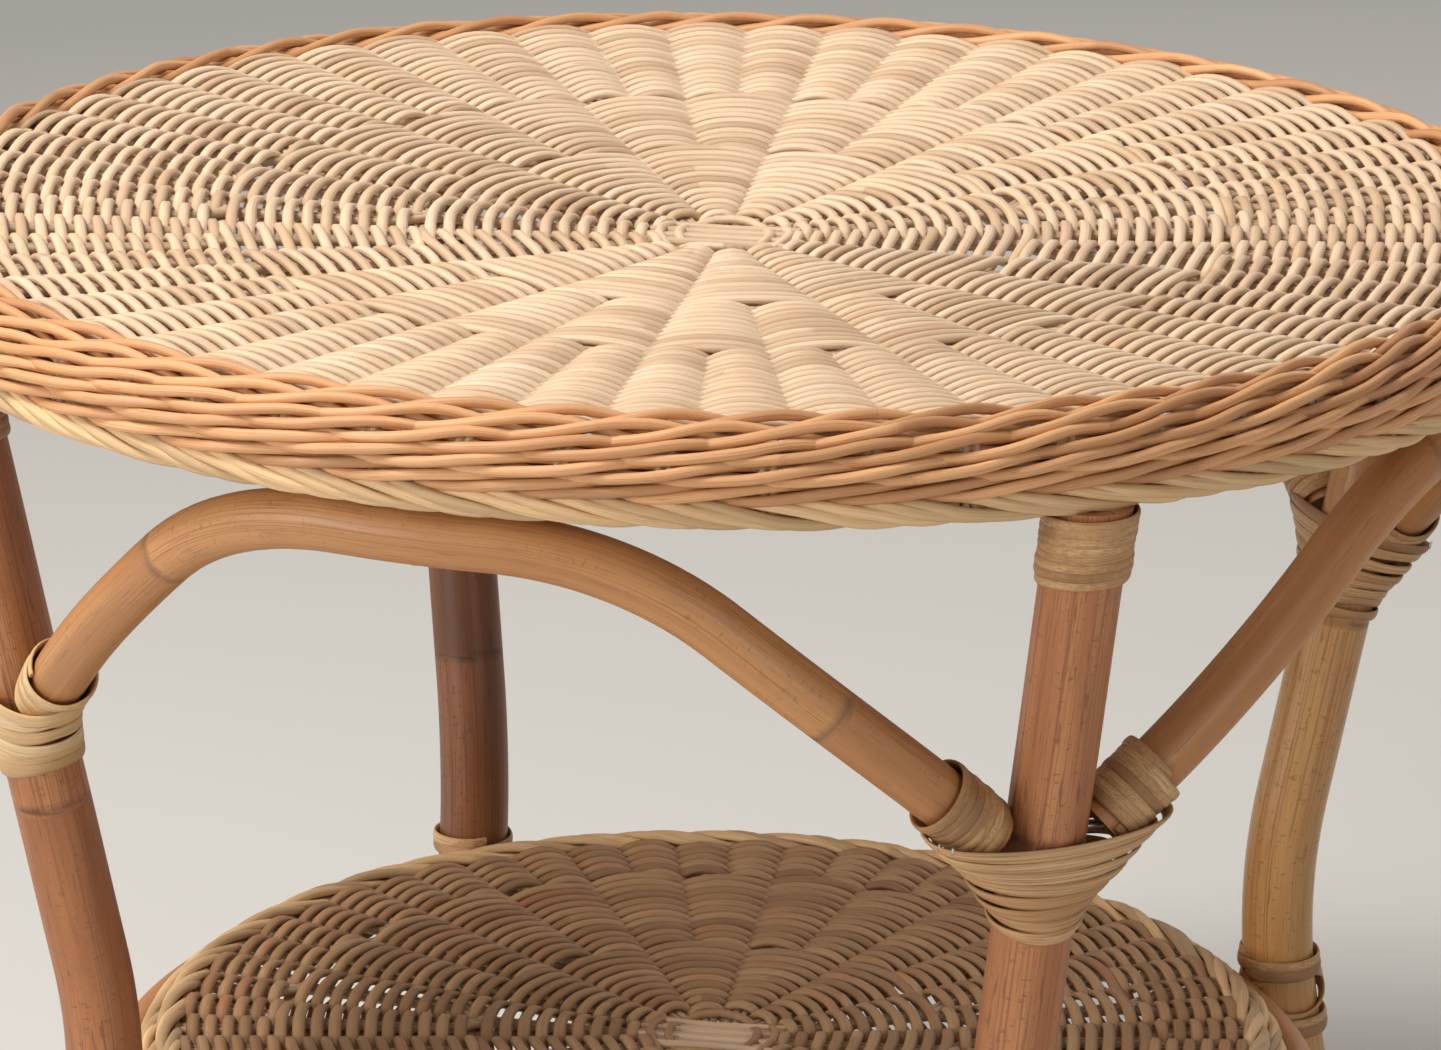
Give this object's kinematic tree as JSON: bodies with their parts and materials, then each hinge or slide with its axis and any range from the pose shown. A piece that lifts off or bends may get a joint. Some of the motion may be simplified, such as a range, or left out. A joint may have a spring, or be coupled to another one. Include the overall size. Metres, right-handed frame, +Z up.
{
  "type": "wicker coffee table",
  "caption": "Round wicker coffee table with a woven skirted top, bent rattan legs, arched braces tied on with peel, and a small woven shelf below.",
  "frame": {"origin": "on the floor, at the centre of the table", "axes": "+Z up through the middle of the top; -Y is the front, and the four legs stand on the diagonals"},
  "size_m": [0.63, 0.63, 0.48],
  "materials": {
    "wicker_pale": "natural woven cane, dry matte",
    "wicker_tan": "orange-brown woven cane, dry matte",
    "wicker_brown": "darker woven cane, dry matte",
    "rattan_hoop": "rattan pole, satin",
    "rattan_leg": "rattan pole with bark, satin varnish",
    "rattan_arch": "peeled and bent rattan pole, satin varnish",
    "peel": "flat rattan peel, satin",
    "steel": "bright wire"
  },
  "bodies": {
    "root": {"top_weave_face": "wicker_pale", "top_weave_back": "wicker_pale", "top_cross": "wicker_pale", "top_stakes": "wicker_pale", "skirt_stakes": "wicker_pale", "top_border": "wicker_pale", "top_wale": "wicker_tan", "shelf_weave_face": "wicker_brown", "shelf_weave_back": "wicker_brown", "shelf_cross": "wicker_brown", "shelf_stakes": "wicker_brown", "shelf_border": "wicker_brown", "top_hoop": "rattan_hoop", "shelf_hoop": "rattan_hoop", "leg_front_right": "rattan_leg", "leg_back_right": "rattan_leg", "leg_back_left": "rattan_leg", "leg_front_left": "rattan_leg", "arch_front": "rattan_arch", "arch_right": "rattan_arch", "arch_back": "rattan_arch", "arch_left": "rattan_arch", "top_binding_front_right": "peel", "top_binding_back_right": "peel", "top_binding_back_left": "peel", "top_binding_front_left": "peel", "arch_wrap_front_a": "peel", "arch_wrap_front_b": "peel", "arch_wrap_right_a": "peel", "arch_wrap_right_b": "peel", "arch_wrap_back_a": "peel", "arch_wrap_back_b": "peel", "arch_wrap_left_a": "peel", "arch_wrap_left_b": "peel", "joint_binding_front_right": "peel", "joint_binding_back_right": "peel", "joint_binding_back_left": "peel", "joint_binding_front_left": "peel", "shelf_binding_front_right": "peel", "shelf_binding_back_right": "peel", "shelf_binding_back_left": "peel", "shelf_binding_front_left": "peel", "hoop_nails": "steel", "crown_nails": "steel", "joint_nails": "steel", "shelf_nails": "steel", "staples": "steel"}
  },
  "joints": []
}
